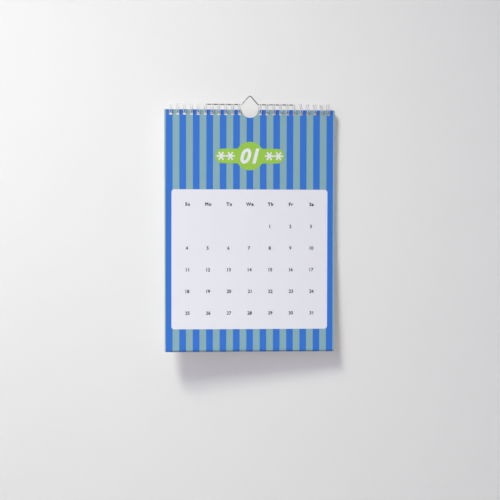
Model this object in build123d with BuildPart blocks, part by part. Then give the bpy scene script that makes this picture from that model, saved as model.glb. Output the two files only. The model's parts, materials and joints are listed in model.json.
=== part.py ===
from build123d import *
import math
import os

# Wall calendar bound with wire
#
# Twelve leaves and a stiff backing board hang on two twin-loop wire combs.
# A bent steel wire lies along the inside of the loops and hangs on a nail.
# All lengths are in millimetres. The front faces -Y, +X is to the right and
# +Z is up. The origin is on the underside of the hanger's peak, where a nail
# bears, and the loops' common axis runs straight below it.

# Leaves and board
leaf_width = 210.0
leaf_height = 297.0
leaf_thickness = 0.3
later_leaf_count = 11
board_thickness = 1.0
front_leaf_gap = 0.15  # air between the January leaf and the next one

# Row of square holes, with the middle places left unpunched
hole_pitch = 25.4 / 3
hole_edge_margin = 2.5  # paper left above each hole
row_end_margin = 5.0  # least paper from the last hole's centre to the side edge
bare_places_per_side = 1
hole_side_slack = 0.325  # air between a hole's side and the wire

# Half-round cut at the middle of the top edge
thumb_cut_web = 0.4  # the cut stops this far from the innermost holes' places
thumb_cut_rise = 0.4  # centre of the cut above the edge

# Twin-loop wire comb
ring_bore = 11.2
comb_wire = 1.0
wire_sides = 6
strand_spacing = 2.35
strand_runs = 11  # straight runs in each strand, from spine to tip
tip_runs = 3
spine_bend = 0.6  # cut across each corner where a strand meets the spine
seam_slack = 0.2  # air on each side of the spine, between leaves and board
tip_gap = 0.1  # air between the closed tips and the spine
sheet_slack = 0.1  # air between a hanging sheet and the wire it hangs on

# Hanger
hanger_wire = 1.4
hanger_length = 109.0
hump_side_gap = 0.825  # from the hump's foot to the innermost loop
hump_slope = 49.0
hump_tip_radius = 2.5
hump_foot_radius = 2.0
hanger_slack = 0.1  # air between the hanger's arms and the loops above them

# Print on the January leaf
ink_thickness = 0.05
stripe_width = 8.25
stripe_count = 25
panel_drop = 97.5  # top of the bare date panel below the leaf's top edge
panel_side_margin = 8.75
panel_bottom_margin = 27.5
panel_corner_radius = 3.5
badge_drop = 56.4  # centre of the title badge below the leaf's top edge
badge_length = 85.0
badge_band = 18.0
badge_disc_radius = 17.5
star_span = 11.0
star_arm_width = 1.9
star_arm_count = 6
stars_per_side = 2
star_pitch = 11.5
star_end_margin = 7.0  # from the badge's end to the outermost star's centre

# Holes and the wire that passes through them
hole_size = strand_spacing + comb_wire + 2 * hole_side_slack
places_per_side = int((leaf_width / 2 - row_end_margin) / hole_pitch + 0.5)
hole_places = [
    side * (place + 0.5) * hole_pitch
    for side in (-1, 1)
    for place in range(bare_places_per_side, places_per_side)
]
innermost_place = (bare_places_per_side + 0.5) * hole_pitch
thumb_cut_radius = innermost_place - hole_size / 2 - thumb_cut_web
hump_half_width = innermost_place - (strand_spacing + comb_wire) / 2 - hump_side_gap

# Heights of the hanger and of the loops' axis
hump_sharp_height = hump_half_width * math.tan(math.radians(hump_slope))
hump_rounding = hump_tip_radius * (1 / math.cos(math.radians(hump_slope)) - 1)
hump_height = hump_sharp_height - hump_rounding
arm_z = hanger_wire / 2 - hump_height
ring_z = arm_z + hanger_wire / 2 + hanger_slack - ring_bore / 2

# Depths of the stack, which is centred on the loops' axis
later_thickness = later_leaf_count * leaf_thickness
seam = comb_wire + 2 * seam_slack
stack_depth = leaf_thickness + front_leaf_gap + later_thickness + seam + board_thickness
front_y = -stack_depth / 2
later_front_y = front_y + leaf_thickness + front_leaf_gap
later_back_y = later_front_y + later_thickness
spine_y = later_back_y + seam / 2
board_front_y = later_back_y + seam
board_back_y = board_front_y + board_thickness

# A thin sheet hangs by the top edges of its holes, which rest on the round of
# the loops, so a sheet near the middle of the stack hangs lowest.
rest_radius = ring_bore / 2 - sheet_slack


def rest_height(y):
    """Height of a hole's top edge at depth y, on a circle about the loops' axis."""
    return ring_z - math.sqrt(rest_radius**2 - y**2)


leaf_top_z = rest_height(front_y) + hole_edge_margin
board_top_z = rest_height(board_back_y) + hole_edge_margin
later_lowest_top_z = ring_z - rest_radius + hole_edge_margin

os.makedirs("parts", exist_ok=True)


def hole_centres(top_z):
    """Centres of a sheet's holes in a front-view sketch, for a sheet with this top edge."""
    hole_z = top_z - hole_edge_margin - hole_size / 2
    return [(x, hole_z) for x in hole_places]


def front_plane(y):
    """Sketch plane facing the front at depth y, with +X to the right and +Z up."""
    return Plane(origin=(0, y, 0), x_dir=(1, 0, 0), z_dir=(0, -1, 0))


# January leaf: one sheet of card, punched and cut
with BuildPart() as january_leaf:
    with BuildSketch(front_plane(front_y)):
        with Locations((0, leaf_top_z - leaf_height / 2)):
            Rectangle(leaf_width, leaf_height)
        with Locations(*hole_centres(leaf_top_z)):
            Rectangle(hole_size, hole_size, mode=Mode.SUBTRACT)
        with Locations((0, leaf_top_z + thumb_cut_rise)):
            Circle(thumb_cut_radius, mode=Mode.SUBTRACT)
    extrude(amount=-leaf_thickness)
january_leaf.part.label = "january_leaf"
export_step(january_leaf.part, "parts/january_leaf.step")

# Later leaves: a closed block of eleven sheets. Their top edges, their bottom
# edges and their holes all follow the round of the loops that they hang on.


def rest_profile(top_drop, bottom_drop):
    """Side profile from one drop below the resting line to another, with curved ends."""
    depths = (later_front_y, (later_front_y + later_back_y) / 2, later_back_y)
    top = [(y, rest_height(y) - top_drop) for y in depths]
    bottom = [(y, rest_height(y) - bottom_drop) for y in depths]
    with BuildLine() as outline:
        ThreePointArc(*top)
        Line(top[-1], bottom[-1])
        ThreePointArc(*bottom)
        Line(bottom[0], top[0])
    return outline.edges()


with BuildPart() as later_leaves:
    with BuildSketch(Plane.YZ.offset(-leaf_width / 2)):
        make_face(rest_profile(-hole_edge_margin, leaf_height - hole_edge_margin))
    extrude(amount=leaf_width)
    for x in hole_places:
        with BuildSketch(Plane.YZ.offset(x - hole_size / 2)):
            make_face(rest_profile(0, hole_size))
        extrude(amount=hole_size, mode=Mode.SUBTRACT)
    with BuildSketch(front_plane(later_front_y)):
        with Locations((0, later_lowest_top_z + thumb_cut_rise)):
            Circle(thumb_cut_radius)
    extrude(amount=-later_thickness, mode=Mode.SUBTRACT)
later_leaves.part.label = "later_leaves"
export_step(later_leaves.part, "parts/later_leaves.step")

# Backing board: stiff card behind the seam of the combs
with BuildPart() as backing_board:
    with BuildSketch(front_plane(board_front_y)):
        with Locations((0, board_top_z - leaf_height / 2)):
            Rectangle(leaf_width, leaf_height)
        with Locations(*hole_centres(board_top_z)):
            Rectangle(hole_size, hole_size, mode=Mode.SUBTRACT)
        with Locations((0, board_top_z + thumb_cut_rise)):
            Circle(thumb_cut_radius, mode=Mode.SUBTRACT)
    extrude(amount=-board_thickness)
backing_board.part.label = "backing_board"
export_step(backing_board.part, "parts/backing_board.step")

# Wire combs. Each is one continuous wire. From the spine, which is hidden in
# front of the board, a strand goes back through the board, up, over the top
# and down through the leaves. It turns in a narrow tip against the spine and
# runs back beside itself, and then the spine leads on to the next loop. The
# round is drawn as straight runs that touch the loop's true circle.
ring_radius = (ring_bore + comb_wire) / 2
half_spacing = strand_spacing / 2

# Angles about the loops' axis are counted from straight down, positive to the
# back. The tip's bottom lies in front of the spine by a wire and tip_gap.
tip_y = spine_y - comb_wire - tip_gap
tip_reach = math.hypot(ring_radius, half_spacing)
tip_start_angle = 2 * math.pi + math.asin(tip_y / tip_reach) - math.atan2(half_spacing, ring_radius)
spine_angle = math.asin(spine_y / ring_radius)
run_angle = (tip_start_angle - spine_angle) / strand_runs
corner_radius = ring_radius / math.cos(run_angle / 2)


def on_ring(x, angle):
    """Corner of the strand's runs at an angle about the loops' axis."""
    return Vector(
        x,
        corner_radius * math.sin(angle),
        ring_z - corner_radius * math.cos(angle),
    )


def strand(x):
    """Corners of one strand, from the spine round to the start of the tip."""
    return [on_ring(x, spine_angle + run * run_angle) for run in range(strand_runs + 1)]


def tip(x):
    """Corners between the two strands' ends, on a half circle tangent to the loop."""
    centre = on_ring(x, tip_start_angle)
    onward = Vector(0, math.cos(tip_start_angle), math.sin(tip_start_angle))
    corners = []
    for step in range(1, tip_runs):
        turn = math.pi * step / tip_runs
        across = Vector(-half_spacing * math.cos(turn), 0, 0)
        corners.append(centre + across + onward * (half_spacing * math.sin(turn)))
    return corners


def eased_start(first, second, side):
    """Two corners in place of the first one, cut across between spine and strand."""
    along_spine = first + Vector(side * spine_bend, 0, 0)
    up_strand = first + (second - first).normalized() * spine_bend
    return [along_spine, up_strand]


def loop_corners(x):
    """All corners of one loop, from the spine on its left to the spine on its right."""
    left = strand(x - half_spacing)
    right = strand(x + half_spacing)
    entry = eased_start(left[0], left[1], -1)
    leaving = eased_start(right[0], right[1], 1)
    return entry + left[1:] + tip(x) + right[:0:-1] + leaving[::-1]


def comb_corners(places):
    """Corners of a whole comb, loop after loop from left to right."""
    corners = []
    for x in sorted(places):
        corners += loop_corners(x)
    return corners


def build_comb(name, places):
    """One comb: a round wire, drawn with a few flat sides, along all its corners."""
    with BuildPart() as comb:
        with BuildLine() as centre_line:
            corners = comb_corners(places)
            Polyline(*corners)
        start = Plane(origin=corners[0], x_dir=(0, 1, 0), z_dir=corners[1] - corners[0])
        with BuildSketch(start):
            RegularPolygon(comb_wire / 2, wire_sides)
        sweep(path=centre_line.wire(), transition=Transition.RIGHT)
    comb.part.label = name
    export_step(comb.part, f"parts/{name}.step")
    return comb


wire_comb_left = build_comb("wire_comb_left", [x for x in hole_places if x < 0])
wire_comb_right = build_comb("wire_comb_right", [x for x in hole_places if x > 0])

# Hanger: one steel wire with two straight arms and a hump for the nail
with BuildPart() as hanger:
    with BuildLine(Plane.XZ) as hanger_line:
        FilletPolyline(
            (-hanger_length / 2, arm_z),
            (-hump_half_width, arm_z),
            (0, arm_z + hump_sharp_height),
            (hump_half_width, arm_z),
            (hanger_length / 2, arm_z),
            radius=(hump_foot_radius, hump_tip_radius, hump_foot_radius),
        )
    with BuildSketch(Plane.YZ.offset(-hanger_length / 2)):
        with Locations((0, arm_z)):
            Circle(hanger_wire / 2)
    sweep(path=hanger_line.wire())
hanger.part.label = "hanger"
export_step(hanger.part, "parts/hanger.step")

# Print on the January leaf, as thin fields of ink in one layer. The date panel
# is bare card, and so are the stars in the title badge.
panel_width = leaf_width - 2 * panel_side_margin
panel_height = leaf_height - panel_drop - panel_bottom_margin
badge_z = leaf_top_z - badge_drop
stripe_centres = [
    ((number - (stripe_count - 1) / 2) * stripe_width, leaf_top_z - leaf_height / 2)
    for number in range(stripe_count)
]
outermost_star = badge_length / 2 - star_end_margin
star_centres = [
    (side * (outermost_star - number * star_pitch), badge_z)
    for side in (-1, 1)
    for number in range(stars_per_side)
]


def draw_badge(mode):
    """Outline of the title badge: a long band with round ends and a disc in its middle."""
    with Locations((0, badge_z)):
        SlotOverall(badge_length, badge_band, mode=mode)
        Circle(badge_disc_radius, mode=mode)


def draw_inked_area():
    """The leaf's face without its holes, its cut, the date panel and the badge."""
    with Locations((0, leaf_top_z - leaf_height / 2)):
        Rectangle(leaf_width, leaf_height)
    with Locations(*hole_centres(leaf_top_z)):
        Rectangle(hole_size, hole_size, mode=Mode.SUBTRACT)
    with Locations((0, leaf_top_z + thumb_cut_rise)):
        Circle(thumb_cut_radius, mode=Mode.SUBTRACT)
    with Locations((0, leaf_top_z - panel_drop - panel_height / 2)):
        RectangleRounded(panel_width, panel_height, panel_corner_radius, mode=Mode.SUBTRACT)
    draw_badge(Mode.SUBTRACT)


with BuildPart() as blue_stripes:
    with BuildSketch(front_plane(front_y)):
        draw_inked_area()
        with Locations(*stripe_centres[::2]):
            Rectangle(stripe_width, leaf_height, mode=Mode.INTERSECT)
    extrude(amount=ink_thickness)
blue_stripes.part.label = "blue_stripes"
export_step(blue_stripes.part, "parts/blue_stripes.step")

with BuildPart() as sage_stripes:
    with BuildSketch(front_plane(front_y)):
        draw_inked_area()
        with Locations(*stripe_centres[::2]):
            Rectangle(stripe_width, leaf_height, mode=Mode.SUBTRACT)
    extrude(amount=ink_thickness)
sage_stripes.part.label = "sage_stripes"
export_step(sage_stripes.part, "parts/sage_stripes.step")

with BuildPart() as title_badge:
    with BuildSketch(front_plane(front_y)):
        draw_badge(Mode.ADD)
        with Locations(*star_centres):
            with PolarLocations(0, star_arm_count // 2, angular_range=180):
                Rectangle(star_span, star_arm_width, mode=Mode.SUBTRACT)
    extrude(amount=ink_thickness)
title_badge.part.label = "title_badge"
export_step(title_badge.part, "parts/title_badge.step")
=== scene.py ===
# %% [markdown]
# # A wire-bound wall calendar
#
# The calendar is twelve leaves and a backing board on two combs of white
# twin-loop wire, with a bent steel wire as its hanger. The construction is
# already made, at its real size, and this script dresses it: it loads the
# solids as a fixed frame, lays detailed pieces over them and gives each
# surface its finish.

# %% Load the frame
import json
import math

import bpy
import numpy as np
from mathutils import Matrix, Vector
from mathutils.geometry import delaunay_2d_cdt


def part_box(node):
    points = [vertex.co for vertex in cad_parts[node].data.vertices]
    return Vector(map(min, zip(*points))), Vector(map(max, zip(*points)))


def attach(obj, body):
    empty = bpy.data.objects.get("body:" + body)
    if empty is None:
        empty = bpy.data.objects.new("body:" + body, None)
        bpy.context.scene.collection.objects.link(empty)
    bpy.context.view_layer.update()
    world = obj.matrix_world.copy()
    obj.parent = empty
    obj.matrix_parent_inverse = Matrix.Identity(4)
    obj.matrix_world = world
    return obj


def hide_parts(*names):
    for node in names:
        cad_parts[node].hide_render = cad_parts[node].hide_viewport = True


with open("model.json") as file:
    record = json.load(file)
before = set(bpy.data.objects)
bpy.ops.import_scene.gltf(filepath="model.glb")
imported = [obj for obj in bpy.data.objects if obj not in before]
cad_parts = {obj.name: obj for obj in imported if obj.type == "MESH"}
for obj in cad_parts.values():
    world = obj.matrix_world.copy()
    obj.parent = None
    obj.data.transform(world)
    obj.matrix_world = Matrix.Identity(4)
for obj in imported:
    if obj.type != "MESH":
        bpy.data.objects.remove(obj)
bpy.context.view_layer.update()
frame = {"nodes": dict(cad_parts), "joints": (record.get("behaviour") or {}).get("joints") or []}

# %% [markdown]
# ## Places that everything is measured from
#
# Blender counts in metres, and paper is easier to think of in millimetres,
# so one factor turns one into the other. The places come from the frame
# itself: each node's box says where its faces are, and the joints say where
# the two long axes run. The front faces -Y, and Z is up.

# %% Places from the frame
MM = 0.001


def joint_point(name):
    """The point that a joint of the frame turns about, in metres."""
    return next(Vector(joint["pos_m"]) for joint in frame["joints"] if joint["name"] == name)


ring_axis = joint_point("leaf_lift")
arm_axis = joint_point("hanger_swing")
leaf_low, leaf_high = (Vector(corner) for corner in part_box("january_leaf"))
block_low, block_high = (Vector(corner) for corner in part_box("later_leaves"))

leaf_width = leaf_high.x - leaf_low.x
leaf_height = leaf_high.z - leaf_low.z
leaf_thickness = leaf_high.y - leaf_low.y
print("leaf:", round(leaf_width / MM), "by", round(leaf_height / MM), "mm")

# %% [markdown]
# ## Punching and wire
#
# Wire of this kind comes with three loops to the inch, and the punch for it
# makes square holes at the same pitch. The first hole on each side is a pitch
# and a half from the centre line, because a half-round cut lies between the
# two. One list of places serves the holes of every sheet and the loops of both
# combs, so that they can't drift apart. A guillotine seldom cuts quite square,
# and these leaves lose a millimetre of their left edge towards the foot.

# %% Sizes of the punching and the wire
hole_pitch = 25.4 * MM / 3
hole_size = 4.0 * MM
hole_margin = 2.5 * MM
loops_per_comb = 11
innermost_place = 1.5
thumb_radius = 10.3 * MM
thumb_rise = 0.4 * MM
edge_lean = 1.0 * MM

wire_radius = 0.5 * MM
strand_spacing = 2.35 * MM
ring_radius = 6.1 * MM

right_places = (np.arange(loops_per_comb) + innermost_place) * hole_pitch
hole_places = np.concatenate([-right_places[::-1], right_places])
print("loops:", len(hole_places), "outermost at", round(hole_places[-1] / MM, 2), "mm")

# %% [markdown]
# ## From arrays to a mesh
#
# Every new piece is worked out as an array of points and an array of faces.
# One function turns such arrays into a Blender object that sits at the
# origin, with its place in its mesh, and gives it to a body of the frame, so
# that it moves with that body.

# %% Make an object from arrays
def make_piece(name, points, faces, body, materials, smooth=True, face_materials=None):
    """A mesh object from an (n, 3) array of points and a list of face index rows."""
    mesh = bpy.data.meshes.new(name)
    mesh.from_pydata(np.asarray(points).tolist(), [], [list(map(int, face)) for face in faces])
    for material in materials:
        mesh.materials.append(material)
    mesh.polygons.foreach_set("use_smooth", np.full(len(mesh.polygons), smooth))
    if face_materials is not None:
        mesh.polygons.foreach_set("material_index", np.asarray(face_materials, dtype=np.int32))
    mesh.update()
    piece = bpy.data.objects.new(name, mesh)
    bpy.context.scene.collection.objects.link(piece)
    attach(piece, body)
    print(name, "has", len(mesh.polygons), "faces")
    return piece


def joined(solids):
    """Several solids as one: their points, their faces and each face's part. A solid's
    face indices are raised by the number of points in the solids before it."""
    points, faces, parts, placed = [], [], [], 0
    for solid_points, solid_faces, solid_parts in solids:
        points.append(solid_points)
        faces += [[index + placed for index in face] for face in solid_faces]
        parts.append(solid_parts)
        placed += len(solid_points)
    return np.concatenate(points), faces, np.concatenate(parts)


# %% [markdown]
# ## Shader maths as plain expressions
#
# A procedural material is a small calculation for each point of a surface.
# Wiring Math nodes by hand hides that calculation, so a socket is wrapped in
# a small class whose operators add the nodes: `1 - mask * 0.5` reads as maths
# and builds as nodes. All other nodes come from one method.

# %% The socket class and the material builder
class Sock:
    """A number socket that builds Math nodes when it is used in an expression."""

    def __init__(self, build, socket):
        self.build = build
        self.socket = socket

    def math(self, operation, *others):
        """This number and any others through one Math node."""
        node = self.build.node("ShaderNodeMath", {"operation": operation}, (self, *others))
        return Sock(self.build, node.outputs[0])

    def __add__(self, other):
        return self.math("ADD", other)

    def __sub__(self, other):
        return self.math("SUBTRACT", other)

    def __mul__(self, other):
        return self.math("MULTIPLY", other)

    def __truediv__(self, other):
        return self.math("DIVIDE", other)

    def __rsub__(self, other):
        return (self * -1) + other

    __radd__ = __add__
    __rmul__ = __mul__

    def above(self, level):
        return self.math("GREATER_THAN", level)

    def at_least(self, level):
        return self.math("MAXIMUM", level)


class Build:
    """A new node material, with the one method that adds any node to it."""

    def __init__(self, name):
        self.material = bpy.data.materials.new(name)
        self.material.use_nodes = True
        self.tree = self.material.node_tree
        self.shader = self.tree.nodes["Principled BSDF"]
        self.place = self.node("ShaderNodeTexCoord", {}, {}).outputs["Object"]

    def node(self, kind, settings, values):
        """A node of a kind: its settings first, then a value or a link for each input."""
        node = self.tree.nodes.new(kind)
        for key, setting in settings.items():
            setattr(node, key, setting)
        rows = values.items() if isinstance(values, dict) else enumerate(values)
        for key, value in rows:
            self.feed(node.inputs[key], value)
        return node

    def feed(self, target, value):
        """Link a socket into an input, or set the input's own value."""
        if isinstance(value, Sock):
            self.tree.links.new(value.socket, target)
        elif isinstance(value, bpy.types.NodeSocket):
            self.tree.links.new(value, target)
        else:
            target.default_value = value

    def axes(self):
        """The point's x, y and z in metres, as three number sockets."""
        parts = self.node("ShaderNodeSeparateXYZ", {}, {0: self.place})
        return [Sock(self, output) for output in parts.outputs]

    def noise(self, scale, detail=2.0, stretch=(1.0, 1.0, 1.0)):
        """Soft noise from 0 to 1, with a pattern of about 1/scale metres."""
        mapping = self.node("ShaderNodeMapping", {}, {"Vector": self.place, "Scale": stretch})
        inputs = {"Vector": mapping.outputs[0], "Scale": scale, "Detail": detail}
        texture = self.node("ShaderNodeTexNoise", {}, inputs)
        return Sock(self, texture.outputs["Fac"])

    def mix(self, factor, first, second):
        """A colour between two colours."""
        node = self.node("ShaderNodeMix", {"data_type": "RGBA"}, {})
        self.feed(node.inputs[0], factor)
        self.feed(node.inputs[6], first)
        self.feed(node.inputs[7], second)
        return node.outputs[2]

    def shade(self, colour, amount):
        """A colour made lighter or darker by a number that is about 1."""
        if isinstance(colour, tuple):
            colour = colour[:3]
        inputs = {0: colour, "Scale": amount}
        return self.node("ShaderNodeVectorMath", {"operation": "SCALE"}, inputs).outputs[0]

    def bump(self, height, strength, distance):
        """Feed a height field to the shader's normal."""
        inputs = {"Height": height, "Strength": strength, "Distance": distance}
        node = self.node("ShaderNodeBump", {}, inputs)
        self.feed(self.shader.inputs["Normal"], node.outputs[0])

    def finish(self, **values):
        """Set or link the shader's inputs by name, with _ for a space."""
        for key, value in values.items():
            self.feed(self.shader.inputs[key.replace("_", " ").title()], value)
        return self.material


# %% [markdown]
# ## Card, ink and board
#
# The leaves are uncoated card: nearly white, matt, with a faint tooth. Ink
# on such card sinks in, so it keeps the card's tooth and only a little of its
# cloudiness shows. The stripes are two inks in turn across the leaf, and the
# date panel is left bare. All of it is worked out from the point's own place
# on the leaf, from its centre line and its top edge.

# %% Colours of the print, as linear light
CARD_WHITE = (0.850, 0.850, 0.935, 1.0)
BLUE = (0.025, 0.176, 0.690, 1.0)
SAGE = (0.256, 0.448, 0.488, 1.0)
LIME = (0.330, 0.620, 0.060, 1.0)
INK_GREY = (0.010, 0.010, 0.016, 1.0)

stripe_width = 8.25 * MM
stripe_count = 25
panel_drop = 97.5 * MM
panel_side = 8.75 * MM
panel_foot = 27.5 * MM
panel_corner = 3.5 * MM


def card_surface(build):
    """The card's cloudiness, tooth and roughness, shared by all the paper."""
    tooth = build.noise(2600, detail=3)
    fibre = build.noise(420, detail=4, stretch=(1.0, 1.0, 0.35))
    build.bump(tooth * 0.6 + fibre * 0.4, 0.12, 0.05 * MM)
    return build.noise(60, detail=4)


def plain_card():
    """Bare card, for backs, edges and white print."""
    build = Build("card_plain")
    cloud = card_surface(build)
    colour = build.shade(CARD_WHITE, cloud * 0.03 + 0.985)
    return build.finish(base_color=colour, roughness=0.62)


def striped_card(name, top_z):
    """Card with stripes and a bare panel. A stripe's number is the distance from the
    first stripe's edge divided by the stripe's width, and even numbers are blue. A point
    is outside the panel if it is further than the corner's radius from the panel's core,
    which is the panel less that radius on every side."""
    build = Build(name)
    cloud = card_surface(build)
    x, y, z = build.axes()
    number = (x / stripe_width + stripe_count / 2).math("FLOOR")
    odd = (number * 0.5).math("FRACT").above(0.25)
    ink = build.mix(odd, BLUE, SAGE)
    ink = build.shade(ink, build.noise(1500, detail=1) * 0.05 + cloud * 0.05 + 0.95)
    half_width = leaf_width / 2 - panel_side - panel_corner
    half_height = (leaf_height - panel_drop - panel_foot) / 2 - panel_corner
    centre_z = top_z - panel_drop - half_height - panel_corner
    across = (x.math("ABSOLUTE") - half_width).at_least(0)
    along = ((z - centre_z).math("ABSOLUTE") - half_height).at_least(0)
    outside = (across * across + along * along).math("SQRT").above(panel_corner)
    bare = build.shade(CARD_WHITE, cloud * 0.03 + 0.985)
    return build.finish(base_color=build.mix(outside, bare, ink), roughness=0.58)


def flat_ink(name, colour):
    """One ink on card, for the badge and the numerals."""
    build = Build(name)
    cloud = card_surface(build)
    return build.finish(base_color=build.shade(colour, cloud * 0.06 + 0.97), roughness=0.55)


def board_card():
    """Pale board: pressed waste paper, with lighter and darker fibres through it."""
    build = Build("grey_board")
    fleck = build.noise(1900, detail=2, stretch=(1.0, 1.0, 0.3))
    fibre = build.noise(700, detail=5, stretch=(0.4, 1.0, 1.0))
    cloud = build.noise(45, detail=3)
    build.bump(fleck * 0.5 + fibre * 0.5, 0.3, 0.08 * MM)
    speck = build.mix(fleck.above(0.68), (0.74, 0.73, 0.70, 1.0), (0.56, 0.54, 0.50, 1.0))
    colour = build.shade(speck, fibre * 0.12 + cloud * 0.08 + 0.92)
    return build.finish(base_color=colour, roughness=0.85)


card = plain_card()
lime_ink = flat_ink("ink_lime", LIME)
grey_ink = flat_ink("ink_grey", INK_GREY)
grey_board = board_card()
print("paper materials:", card.name, lime_ink.name, grey_ink.name, grey_board.name)

# %% [markdown]
# ## Wire
#
# The combs are steel wire with a white nylon coat, which is smooth with a
# soft gloss. The hanger is bare drawn steel: its fine scratches run along the
# wire, and its grey is uneven where it was handled and bent.

# %% Wire finishes
def coated_wire():
    """White nylon coat with faint orange peel."""
    build = Build("wire_white")
    peel = build.noise(900, detail=2)
    build.bump(peel, 0.08, 0.04 * MM)
    colour = build.shade((0.75, 0.75, 0.77, 1.0), build.noise(140) * 0.05 + 0.97)
    return build.finish(base_color=colour, roughness=0.32)


def drawn_steel():
    """Bare wire with scratches drawn out along its length."""
    build = Build("wire_steel")
    scratch = build.noise(2400, detail=3, stretch=(0.06, 1.0, 1.0))
    tarnish = build.noise(160, detail=4)
    build.bump(scratch, 0.25, 0.03 * MM)
    colour = build.shade((0.34, 0.335, 0.325, 1.0), tarnish * 0.35 + 0.8)
    return build.finish(
        base_color=colour, metallic=1.0, roughness=scratch * 0.12 + tarnish * 0.12 + 0.14
    )


wire_white = coated_wire()
wire_steel = drawn_steel()
print("wire materials:", wire_white.name, wire_steel.name)

# %% [markdown]
# ## A tube along a path
#
# A wire is a small circle carried along a path. At each point of the path the
# circle stands in the plane of two directions at right angles to the path:
# one is given (it is easy to name one for a bent wire), and the other is the
# cross product of that one with the path's own direction.

# %% Carry a circle along a path
def tube(path, side_way, radius, sides):
    """Points and faces of a closed tube. Each ring is centre + r (cos a * u + sin a * v),
    where u is the given side way and v is the path's direction crossed with u."""
    ahead = np.gradient(path, axis=0)
    ahead /= np.linalg.norm(ahead, axis=1, keepdims=True)
    u = side_way - ahead * np.sum(side_way * ahead, axis=1, keepdims=True)
    u /= np.linalg.norm(u, axis=1, keepdims=True)
    v = np.cross(ahead, u)
    angle = np.linspace(0, 2 * np.pi, sides, endpoint=False)[None, :, None]
    rings = path[:, None] + radius * (np.cos(angle) * u[:, None] + np.sin(angle) * v[:, None])
    row = np.arange(len(path) - 1)[:, None] * sides
    column = np.arange(sides)[None]
    after = (column + 1) % sides
    quads = np.stack([row + column, row + after, row + sides + after, row + sides + column], -1)
    first_cap = np.arange(sides)[::-1]
    last_cap = (len(path) - 1) * sides + np.arange(sides)
    return rings.reshape(-1, 3), quads.reshape(-1, 4).tolist() + [first_cap, last_cap]


# %% [markdown]
# ## The twin-loop combs
#
# A comb is made flat. One wire is bent into a row of narrow fingers, each a
# strand up, a half circle and a strand down, with a straight stretch of spine
# to the next finger. Then the flat comb is rolled up, so the fingers become
# loops whose tips close against the spine. This script does the same: it
# draws the flat zigzag in two numbers, x along the spine and s along the
# finger, and then rolls s round the ring, at the angle s divided by the
# ring's radius.

# %% Draw the flat comb
spine_depth = 1.375 * MM
tip_depth = 0.275 * MM
spine_angle = math.asin(spine_depth / ring_radius)
tip_bottom_angle = 2 * math.pi + math.asin(tip_depth / ring_radius)
bend_radius = 0.9 * MM
arc_steps = 8
strand_steps = 44
comb_sides = 12


def arc(centre_x, centre_s, radius, start, end, steps):
    """Points of a flat arc, from one angle to another."""
    angle = np.linspace(start, end, steps)
    return np.stack([centre_x + radius * np.cos(angle), centre_s + radius * np.sin(angle)], -1)


def flat_finger():
    """One finger about x = 0, from the spine on its left to the spine on its right."""
    half = strand_spacing / 2
    foot = spine_angle * ring_radius
    shoulder = tip_bottom_angle * ring_radius - half
    strand = np.linspace(foot + bend_radius, shoulder, strand_steps)[1:-1]
    left_bend = arc(-half - bend_radius, foot + bend_radius, bend_radius, -np.pi / 2, 0, arc_steps)
    up = np.stack([np.full_like(strand, -half), strand], -1)
    turn = arc(0, shoulder, half, np.pi, 0, 2 * arc_steps)
    half_finger = np.concatenate([left_bend, up, turn[:arc_steps]])
    return np.concatenate([half_finger, half_finger[::-1] * [-1, 1]])


def comb_points(places):
    """A whole comb: the flat finger set at each place and rolled round the ring's axis."""
    fingers = flat_finger()[None] + np.stack([places, np.zeros_like(places)], -1)[:, None]
    flat = fingers.reshape(-1, 2)
    angle = flat[:, 1] / ring_radius
    outward = np.stack([np.zeros_like(angle), np.sin(angle), -np.cos(angle)], -1)
    along = np.stack([flat[:, 0], np.zeros_like(angle), np.zeros_like(angle)], -1)
    return along + outward * ring_radius + np.array([0, ring_axis.y, ring_axis.z]), outward


# %% Roll both combs
for comb_name, places in (
    ("wire_comb_left", -right_places[::-1]),
    ("wire_comb_right", right_places),
):
    path, outward = comb_points(places)
    points, faces = tube(path, outward, wire_radius, comb_sides)
    comb = make_piece(comb_name + "_wire", points, faces, "calendar", [wire_white])
    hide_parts(comb_name)

# %% [markdown]
# ## The hanger
#
# One steel wire runs along the inside of the loops, rises into the hump that
# the calendar hangs by, and runs on. The hump has straight legs joined to the
# arms and to each other by bends. A spline would bulge before and after each
# bend, so a bend's points are those of a circle's arc that touches both
# straight runs.

# %% Bend the hanger
hanger_radius = 0.7 * MM
hanger_half = 54.5 * MM
hump_half = 10.2 * MM
hump_slope = math.radians(49.0)
foot_bend = 2.0 * MM
tip_bend = 2.5 * MM
arm_steps, leg_steps, bend_steps = 12, 8, 10
hanger_sides = 20


def hanger_path():
    """Half of the wire from its end to the middle of the hump, then its mirror image.
    A bend starts at its radius times the tangent of half its angle before the corner, and
    the peak's round lies below its sharp corner by its radius times (1 / cosine - 1)."""
    foot_reach = foot_bend * math.tan(hump_slope / 2)
    turn = np.linspace(0, hump_slope, bend_steps)
    foot_x = -hump_half - foot_reach + foot_bend * np.sin(turn)
    foot_z = foot_bend * (1 - np.cos(turn))
    peak_z = hump_half * math.tan(hump_slope) - tip_bend * (1 / math.cos(hump_slope) - 1)
    turn = np.linspace(hump_slope, 0, bend_steps)
    peak_x = -tip_bend * np.sin(turn)
    peak_z = peak_z - tip_bend * (1 - np.cos(turn))
    arm_x = np.linspace(-hanger_half, foot_x[0], arm_steps)[:-1]
    leg = np.linspace(0, 1, leg_steps)[1:-1]
    leg_x = foot_x[-1] + (peak_x[0] - foot_x[-1]) * leg
    leg_z = foot_z[-1] + (peak_z[0] - foot_z[-1]) * leg
    x = np.concatenate([arm_x, foot_x, leg_x, peak_x])
    z = np.concatenate([np.zeros_like(arm_x), foot_z, leg_z, peak_z])
    half = np.stack([x, np.zeros_like(x), z], -1)
    whole = np.concatenate([half[:-1], half[::-1] * [-1, 1, 1]])
    return whole + np.array(arm_axis)


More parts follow.
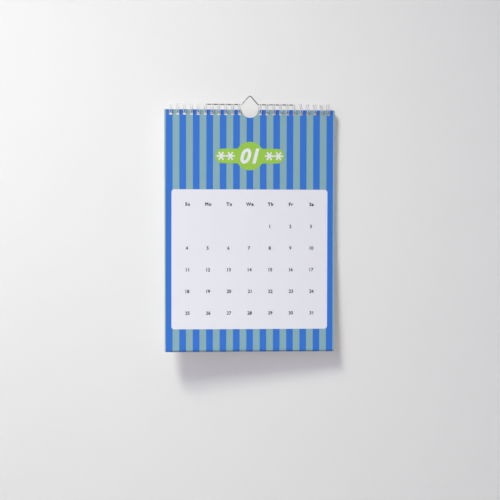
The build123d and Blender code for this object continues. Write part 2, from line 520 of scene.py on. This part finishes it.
path = hanger_path()
side_way = np.tile([0.0, 1.0, 0.0], (len(path), 1))
points, faces = tube(path, side_way, hanger_radius, hanger_sides)
hanger = make_piece("hanger_wire", points, faces, "hanger", [wire_steel])
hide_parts("hanger")

# %% [markdown]
# ## Sheets with holes
#
# A leaf is a flat outline with square holes and a half-round cut. Blender can
# fill any outline with triangles that keep to its edges, if it is given the
# outline's points, its edges and some more points inside, which let the sheet
# bend. The triangles over the holes are thrown away afterwards. The filled
# outline then becomes a thin closed solid: a front, a back and a wall along
# every edge that belongs to only one triangle.

# %% Fill an outline
edge_room = 0.3 * MM
same_point = 1e-7


def loop_edges(start, count):
    """Index pairs round a closed loop of points that starts at an index."""
    index = np.arange(count)
    return np.stack([index, (index + 1) % count], -1) + start


def fill(loops, spacing, keep):
    """Triangles inside the first loop, for loops of flat points. keep(x, z, margin) says
    where card is, that far from its edges. A grid of points with this spacing lets the
    sheet bend."""
    low, high = loops[0].min(0), loops[0].max(0)
    across, along = (np.arange(low[i] + spacing / 2, high[i], spacing) for i in (0, 1))
    grid = np.stack(np.meshgrid(across, along), -1).reshape(-1, 2)
    grid = grid[keep(grid[:, 0], grid[:, 1], edge_room)]
    starts = np.cumsum([0] + [len(loop) for loop in loops])
    edges = np.concatenate([loop_edges(start, len(loop)) for start, loop in zip(starts, loops)])
    points = [Vector(point) for point in np.concatenate(loops + [grid]).tolist()]
    filled = delaunay_2d_cdt(points, edges.tolist(), [], 0, same_point)
    flat = np.array([tuple(point) for point in filled[0]])
    triangles = np.array(filled[2])
    middle = flat[triangles].mean(1)
    return flat, triangles[keep(middle[:, 0], middle[:, 1], 0.0)]


def rectangle(x_low, x_high, z_low, z_high):
    """The four corners of a rectangle, anticlockwise."""
    return np.array([[x_low, z_low], [x_high, z_low], [x_high, z_high], [x_low, z_high]])


# %% The outline of a punched leaf
cut_steps = 40


def punched_sheet(top_z, bottom_z, spacing):
    """Flat points and triangles of a leaf between two heights, with its holes and cut.
    Its lower left corner is moved in by the lean, so its left edge is a slanting line."""
    half = leaf_width / 2
    centre_z = top_z + thumb_rise
    reach = math.asin(thumb_rise / thumb_radius)
    angle = np.linspace(-reach, -np.pi + reach, cut_steps)
    cut = np.stack([thumb_radius * np.cos(angle), centre_z + thumb_radius * np.sin(angle)], -1)
    outline = np.concatenate([rectangle(-half, half, bottom_z, top_z)[:3], cut, [[-half, top_z]]])
    outline[0, 0] += edge_lean
    hole_top = top_z - hole_margin
    holes = [
        rectangle(x - hole_size / 2, x + hole_size / 2, hole_top - hole_size, hole_top)
        for x in hole_places
    ]

    def keep(x, z, margin):
        left_edge = edge_lean * (top_z - z) / (top_z - bottom_z) - half
        inside = (x > left_edge + margin) & (x < half - margin)
        inside &= (z > bottom_z + margin) & (z < top_z - margin)
        in_cut = np.hypot(x, z - centre_z) < thumb_radius + margin
        near_hole = np.abs(x[:, None] - hole_places[None]).min(1) < hole_size / 2 + margin
        in_row = np.abs(z - hole_top + hole_size / 2) < hole_size / 2 + margin
        return inside & ~in_cut & ~(near_hole & in_row)

    return fill([outline] + holes, spacing, keep)


# %% Give a filled outline its thickness
def solid_from(flat, triangles, front_y, thickness):
    """A closed solid from flat triangles. front_y(x, z) is the depth of its front face.
    Returns points, faces and, for each face, 0 for the front and 1 for back and walls."""
    x, z = flat[:, 0], flat[:, 1]
    front = np.stack([x, front_y(x, z), z], -1)
    back = front + np.array([0.0, thickness, 0.0])
    u = flat[triangles[:, 1]] - flat[triangles[:, 0]]
    v = flat[triangles[:, 2]] - flat[triangles[:, 0]]
    turned = u[:, 0] * v[:, 1] - u[:, 1] * v[:, 0] < 0
    triangles = np.where(turned[:, None], triangles[:, ::-1], triangles)
    sides = np.concatenate([triangles[:, [0, 1]], triangles[:, [1, 2]], triangles[:, [2, 0]]])
    codes = sides[:, 0] * len(flat) + sides[:, 1]
    opposite = sides[:, 1] * len(flat) + sides[:, 0]
    rim = sides[~np.isin(codes, opposite)]
    count = len(flat)
    walls = np.stack([rim[:, 1], rim[:, 0], rim[:, 0] + count, rim[:, 1] + count], -1)
    faces = triangles.tolist() + (triangles[:, ::-1] + count).tolist() + walls.tolist()
    parts = np.repeat([0, 1, 1], [len(triangles), len(triangles), len(walls)])
    return np.concatenate([front, back]), faces, parts


# %% [markdown]
# ## How a hanging leaf bends
#
# Card that hangs from its top edge is nearly flat, but never quite: it keeps
# a little of the roll that it was printed from, and its lower corners lift.
# The bend is zero along the row of holes and grows with the square of the
# distance below it, more on one side than on the other.
#
# The holes are larger than the wire, so each sheet has some play: the front
# leaf sits 0.4 mm higher than its solid, and its foot is cut 0.8 mm shorter.

# %% The front leaf's surface
corner_lift = 2.2 * MM
bow = 0.35 * MM


def leaf_bend(x, z):
    """How far forward the front leaf stands at a point, in metres. It is a lift that
    grows with the square of the way down, full at the left edge and 0.55 of that at the
    right, and a slight bow between the two edges."""
    still_z = leaf_high.z - 2 * hole_margin - hole_size
    down = np.clip((still_z - z) / leaf_height, 0, None)
    left = 0.5 - x / leaf_width
    return corner_lift * down**2 * (0.55 + 0.45 * left) + bow * np.sin(np.pi * left) * down


def january_front(x, z):
    """Depth of the front leaf's face."""
    return leaf_low.y - leaf_bend(x, z)


# %% Make the front leaf
hole_play = 0.4 * MM
foot_trim = 0.8 * MM
bend_spacing = 7 * MM
january_card = striped_card("card_january", leaf_high.z)
top_z, bottom_z = leaf_high.z + hole_play, leaf_low.z + hole_play + foot_trim
flat, triangles = punched_sheet(top_z, bottom_z, bend_spacing)
points, faces, parts = solid_from(flat, triangles, january_front, leaf_thickness)
january = make_piece(
    "january_sheet", points, faces, "january_leaf", [january_card, card], False, parts
)
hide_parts("january_leaf", "blue_stripes", "sage_stripes")

# %% [markdown]
# ## The later leaves
#
# Eleven more leaves hang behind the front one, squared up as one block. A leaf
# rests on the round of the loops by the tops of its holes, and the block's
# middle is over the lowest point of the loops, so the block hangs about a
# millimetre lower than the front leaf. That strip of it is in the front leaf's
# shadow, and draws a dark line under the front leaf's edge. The leaves are flat,
# so they share one outline, and each is set a little behind the one before.

# %% Make the later leaves
later_leaf_count = 11
sheet_gap = 0.04 * MM
block_play = 0.25 * MM
flat_spacing = 30 * MM
later_pitch = (block_high.y - block_low.y) / later_leaf_count
later_card = striped_card("card_later", block_high.z)

top_z, bottom_z = block_high.z + block_play, block_low.z + block_play
flat, triangles = punched_sheet(top_z, bottom_z, flat_spacing)
points, faces, parts = joined([
    solid_from(flat, triangles, lambda x, z: np.full_like(x, leaf_y), later_pitch - sheet_gap)
    for leaf_y in block_low.y + np.arange(later_leaf_count) * later_pitch
])
later = make_piece("later_sheets", points, faces, "calendar", [later_card, card], False, parts)
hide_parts("later_leaves")

# %% [markdown]
# ## The backing board
#
# The board is a plain flat card with the leaves' own holes and cut, and its
# solid already has that shape. So it keeps its solid, and only its surface
# changes.

# %% Give the backing board its surface
board = frame["nodes"]["backing_board"]
board.data.materials.clear()
board.data.materials.append(grey_board)
board_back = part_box("backing_board")[1][1] - ring_axis.y
print("the board's back is", round(board_back / MM, 2), "mm behind the loops' axis")

# %% [markdown]
# ## Lettering and badge
#
# Numerals are filled outlines too. Blender's text objects give the outlines: a
# text is made, the edges of its bare curves are read, and the text object is
# dropped. A bold letter is its outline moved outwards, and then the outline
# can cross itself in tight corners. So the triangles are not chosen by sides
# of the outline but by its winding number: ink is where the outline, added up,
# goes round a point at least once. The same function as before then makes thin
# solids that lie on the leaf's bent face. Real ink has no thickness to speak
# of, but a surface on another needs a hair of room, or the two flicker.

# %% Read a text as flat points
ink_lift = 0.03 * MM
ink_depth = 0.02 * MM
same_letter_point = 1e-5
sharpest_step = 0.6


def winding(points, starts, ends):
    """How often directed edges go round each point. An edge that crosses the point's
    height counts +1 upwards and -1 downwards, if it crosses on the point's right."""
    px, py = points[:, :1], points[:, 1:]
    (x0, y0), (x1, y1) = starts.T, ends.T
    rise = np.where(y0 == y1, 1.0, y1 - y0)
    crossing_x = x0 + (py - y0) / rise * (x1 - x0)
    right = crossing_x > px
    up = (y0 <= py) & (py < y1) & right
    down = (y1 <= py) & (py < y0) & right
    return up.sum(1) - down.sum(1)


def moved_out(outline, edges, distance):
    """An outline's points moved away from its ink. Each point moves along the sum of the
    normals of its two edges, divided by 1 + their dot product, so both sides keep step.
    The divisor has a least value, so that a sharp corner doesn't run off."""
    start, end = outline[edges[:, 0]], outline[edges[:, 1]]
    area = np.sum(start[:, 0] * end[:, 1] - end[:, 0] * start[:, 1])
    along = end - start
    along /= np.linalg.norm(along, axis=1, keepdims=True)
    normal = np.stack([along[:, 1], -along[:, 0]], -1) * np.sign(area)
    after, before = np.empty_like(outline), np.empty_like(outline)
    after[edges[:, 0]] = normal
    before[edges[:, 1]] = normal
    step = 1 + np.sum(after * before, axis=1, keepdims=True)
    return outline + distance * (after + before) / np.maximum(step, sharpest_step)


def text_outline(words, slant, spacing):
    """The bare outline of a text as flat points and directed edges. Blender joins each
    point to the next one, and a loop's last point back to its first."""
    curve = bpy.data.curves.new("text", "FONT")
    curve.body = words
    curve.resolution_u = 4
    curve.shear = slant
    curve.space_character = spacing
    curve.fill_mode = "NONE"
    holder = bpy.data.objects.new("text", curve)
    mesh = bpy.data.meshes.new_from_object(holder)
    outline = np.empty(len(mesh.vertices) * 3)
    mesh.vertices.foreach_get("co", outline)
    outline = outline.reshape(-1, 3)[:, :2]
    edges = np.empty(len(mesh.edges) * 2, dtype=np.int32)
    mesh.edges.foreach_get("vertices", edges)
    edges = edges.reshape(-1, 2)
    bpy.data.objects.remove(holder)
    bpy.data.curves.remove(curve)
    bpy.data.meshes.remove(mesh)
    closing = np.abs(edges[:, 0] - edges[:, 1]) > 1
    return outline, np.where(closing[:, None], np.sort(edges, 1)[:, ::-1], np.sort(edges, 1))


def text_shape(words, height, weight=0.0, slant=0.0, spacing=1.0):
    """Flat points and triangles of a text, scaled to a height and centred on 0, 0. The
    weight is how far the outline moves outwards, as a share of the font's size."""
    outline, edges = text_outline(words, slant, spacing)
    outline = moved_out(outline, edges, weight)
    points = [Vector(point) for point in outline.tolist()]
    filled = delaunay_2d_cdt(points, edges.tolist(), [], 0, same_letter_point)
    flat = np.array([tuple(point) for point in filled[0]])
    triangles = np.array(filled[2])
    middle = flat[triangles].mean(1)
    triangles = triangles[winding(middle, outline[edges[:, 0]], outline[edges[:, 1]]) != 0]
    size = outline.max(0) - outline.min(0)
    flat = (flat - (outline.max(0) + outline.min(0)) / 2) * (height / size[1])
    return flat, triangles


# %% Print a set of shapes as one piece
def print_piece(name, shapes, lift, material):
    """One piece from shapes, each with its place: thin solids on the front leaf's face."""
    solids = [
        solid_from(
            flat + np.array(place), triangles, lambda x, z: january_front(x, z) - lift, ink_depth
        )
        for flat, triangles, place in shapes
    ]
    points, faces, _ = joined(solids)
    piece = make_piece(name, points, faces, "january_leaf", [material], False)
    return piece


# %% [markdown]
# ## Dates and weekdays
#
# The dates stand in seven columns, evenly spaced about the leaf's centre line.
# This month starts on the fifth weekday, so a date's cell is its number plus
# four, counted from nought: the row is that number divided by seven, and the
# column is what remains. Single figures stand a little to the left.

# %% Print the dates and the weekdays
weekdays = ("Su", "Mo", "Tu", "We", "Th", "Fr", "Sa")
middle_column = len(weekdays) // 2
column_pitch = 25.55 * MM
row_pitch = 26.7 * MM
header_drop = 115.6 * MM
first_row_drop = 142.9 * MM
letter_height = 4.3 * MM
single_shift = -0.8 * MM
first_column = 4
days = 31

shapes = []
for day in range(1, days + 1):
    row, column = divmod(first_column + day - 1, len(weekdays))
    x = (column - middle_column) * column_pitch + (single_shift if day < 10 else 0.0)
    place = (x, leaf_high.z - first_row_drop - row * row_pitch)
    shapes.append((*text_shape(str(day), letter_height, weight=0.032), place))
print_piece("dates", shapes, ink_lift, grey_ink)

shapes = []
for column, weekday in enumerate(weekdays):
    place = ((column - middle_column) * column_pitch, leaf_high.z - header_drop)
    shapes.append((*text_shape(weekday, letter_height, weight=0.05, spacing=1.2), place))
print_piece("weekdays", shapes, ink_lift, grey_ink)

# %% [markdown]
# ## The title badge
#
# A lime badge carries the month's number in white, with white stars to each
# side. Its outline is a long band with round ends, and a disc in its middle.
# A star is three bars that cross, and its outline needs three corners for each
# of its six arms: two at the arm's end and one in the notch before the next.
# The white print lies on top of the lime, so it gets twice the room.

# %% The badge's outline
badge_z = leaf_high.z - 56.4 * MM
badge_half = 42.5 * MM
band_radius = 9.0 * MM
disc_radius = 17.5 * MM
end_steps, disc_steps = 24, 40
badge_spacing = 6 * MM


def badge_shape():
    """The band and the disc as one outline, from arcs that meet where they cross."""
    meet = math.asin(band_radius / disc_radius)
    end = np.linspace(-np.pi / 2, np.pi / 2, end_steps)
    over = np.linspace(meet, np.pi - meet, disc_steps)
    band_half = badge_half - band_radius
    right = [band_half, 0] + band_radius * np.stack([np.cos(end), np.sin(end)], -1)
    top = disc_radius * np.stack([np.cos(over), np.sin(over)], -1)
    outline = np.concatenate([right, top, -right, -top])

    def keep(x, z, margin):
        run = np.hypot(np.maximum(np.abs(x) - band_half, 0), z)
        return (run < band_radius - margin) | (np.hypot(x, z) < disc_radius - margin)

    return fill([outline], badge_spacing, keep)


# %% A star's outline
star_span = 11.0 * MM
star_width = 1.9 * MM
star_spacing = 3 * MM


def star_shape():
    """Three bars of one width that cross, as one outline of eighteen corners. An arm's end
    corners are its tip plus and minus half the width across the arm, and a notch lies half
    way between two arms, at half the width divided by the sine of 30 degrees."""
    arm = np.arange(6) * np.pi / 3
    half = star_width / 2
    ahead = np.stack([np.cos(arm), np.sin(arm)], -1)
    across = np.stack([-np.sin(arm), np.cos(arm)], -1)
    between = np.stack([np.cos(arm + np.pi / 6), np.sin(arm + np.pi / 6)], -1)
    tip = star_span / 2 * ahead
    notch = half / math.sin(math.pi / 6) * between
    outline = np.stack([tip - half * across, tip + half * across, notch], 1).reshape(-1, 2)

    def keep(x, z, margin):
        along = np.abs(x[:, None] * np.cos(arm) + z[:, None] * np.sin(arm))
        aside = np.abs(-x[:, None] * np.sin(arm) + z[:, None] * np.cos(arm))
        return ((along < star_span / 2 - margin) & (aside < half - margin)).any(1)

    return fill([outline], star_spacing, keep)


# %% Print the badge
star_places = np.array([-35.5, -24.0, 24.0, 35.5]) * MM
month_height = 19 * MM

shapes = [(*badge_shape(), (0.0, badge_z))]
badge = print_piece("title_badge_print", shapes, ink_lift, lime_ink)
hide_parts("title_badge")

star = star_shape()
shapes = [(*star, (x, badge_z)) for x in star_places]
shapes.append((*text_shape("01", month_height, weight=0.035, slant=0.25), (0.0, badge_z)))
print_piece("title_motif", shapes, 2 * ink_lift, card)

# %% [markdown]
# ## Camera
#
# The camera stands a metre and a half away, a little to the left of the
# calendar and a little above its middle, with a long lens. It looks at a point
# a little below the leaf's middle, and an eighth of a degree of roll is added
# by turning it about its own line of sight first.

# %% Camera
camera_data = bpy.data.cameras.new("camera")
camera_data.lens = 87.4
camera_data.sensor_width = 36.0
camera_data.clip_start = 0.05
camera = bpy.data.objects.new("camera", camera_data)
bpy.context.scene.collection.objects.link(camera)
camera.location = (-0.1120, -1.4950, -0.1476)
aim = Vector((0.0004, -0.0031, -0.1886))
camera_roll = math.radians(0.127)
turn = (aim - camera.location).to_track_quat("-Z", "Y").to_matrix().to_4x4()
camera.rotation_euler = (turn @ Matrix.Rotation(camera_roll, 4, "Z")).to_euler()
bpy.context.scene.camera = camera
print("the camera is", round((aim - camera.location).length, 3), "m from what it looks at")

# %% [markdown]
# ## A plain wall, a floor and soft light
#
# The calendar hangs in front of a plain pale wall, and its soft shadow shows
# how far it stands off. A calendar seldom hangs quite flat: here the gap grows
# to the left and downwards. The calendar's own frame is upright, so the wall
# takes up that turn and tilt, with a gentle curve besides. The wall is seen
# only from its front, so that a view from behind looks through it to the back
# of the calendar.

# %% Wall and floor
def backdrop(name, points, faces):
    """A stage piece from points and faces, pale and seen only from its front."""
    build = Build(name + "_paint")
    colour = build.shade((0.86, 0.86, 0.865, 1.0), build.noise(9, detail=2) * 0.02 + 0.99)
    build.finish(base_color=colour, roughness=0.8)
    clear = build.node("ShaderNodeBsdfTransparent", {}, {}).outputs[0]
    back = build.node("ShaderNodeNewGeometry", {}, {}).outputs["Backfacing"]
    blend = build.node("ShaderNodeMixShader", {}, (back, build.shader.outputs[0], clear))
    build.feed(build.tree.nodes["Material Output"].inputs["Surface"], blend.outputs[0])
    mesh = bpy.data.meshes.new(name)
    mesh.from_pydata(points, [], faces)
    mesh.polygons.foreach_set("use_smooth", np.full(len(faces), True))
    mesh.materials.append(build.material)
    piece = bpy.data.objects.new(name, mesh)
    bpy.context.scene.collection.objects.link(piece)
    return piece


wall_gap = 7.7 * MM
wall_turn = 0.0663
wall_tilt = 0.0195
wall_curve = 0.269
curve_middle = -0.165


def wall_y(x, z):
    """Depth of the wall behind a point, in metres: a gap that grows with the way to the
    left and the way down, and with the square of the way from the curve's middle height."""
    return wall_gap - wall_turn * x - wall_tilt * z + wall_curve * (z - curve_middle) ** 2


wall_top = 1.6
floor_z = -1.35
reach = 3.2
height_count = 60
heights = np.linspace(floor_z, wall_top, height_count)
left, right = (
    np.stack([np.full_like(heights, x), wall_y(x, heights), heights], -1) for x in (-reach, reach)
)
row = np.arange(height_count - 1)
wall_faces = np.stack([row, row + height_count, row + height_count + 1, row + 1], -1)
wall = backdrop("wall", np.concatenate([left, right]).tolist(), wall_faces.tolist())
wall.visible_shadow = False

floor_corners = [(x, y, floor_z) for x, y in rectangle(-reach, reach, -reach, reach).tolist()]
backdrop("floor", floor_corners, [(0, 1, 2, 3)])
print("the wall is", round(wall_y(0, ring_axis.z) / MM, 1), "mm behind the loops' axis")

# %% [markdown]
# ## Lights
#
# A high lamp at the left, with a narrow beam, makes the shadow's edge and the
# slow fade across the wall. A large light like a window's, slightly blue, comes
# in from the left at the calendar's height. The world's light fills the rest. A
# weak lamp behind lets the back be seen, and it passes the wall, which casts no
# shadow.

# %% Lights
calendar_middle = (0, 0, -0.15)


def area_light(name, place, target, size, power, spread=180, colour=(1.0, 1.0, 1.0)):
    """A square soft light that looks at a point. The spread is its beam's angle."""
    data = bpy.data.lights.new(name, "AREA")
    data.size = size
    data.energy = power
    data.color = colour
    data.spread = math.radians(spread)
    light = bpy.data.objects.new(name, data)
    bpy.context.scene.collection.objects.link(light)
    light.location = place
    light.rotation_euler = (Vector(target) - Vector(place)).to_track_quat("-Z", "Y").to_euler()
    print(name, "light:", power, "W, a square of", size, "m")


area_light(
    "key", (-1.41, -1.82, 2.30), (-0.25, 0, -0.73), size=0.9, power=7.35, spread=43.5,
    colour=(0.955, 0.981, 0.872),
)
area_light(
    "window", (-1.3, -1.7, 0.5), calendar_middle, size=2.0, power=12.8, colour=(0.714, 0.791, 1.0)
)
area_light("rear", (0.5, 1.6, 0.6), calendar_middle, size=1.2, power=8)

world = bpy.data.worlds.new("studio")
world.use_nodes = True
background = world.node_tree.nodes["Background"].inputs
background["Color"].default_value = (1.009, 0.920, 0.943, 1.0)
background["Strength"].default_value = 0.36
bpy.context.scene.world = world
bpy.context.scene.view_settings.view_transform = "Standard"
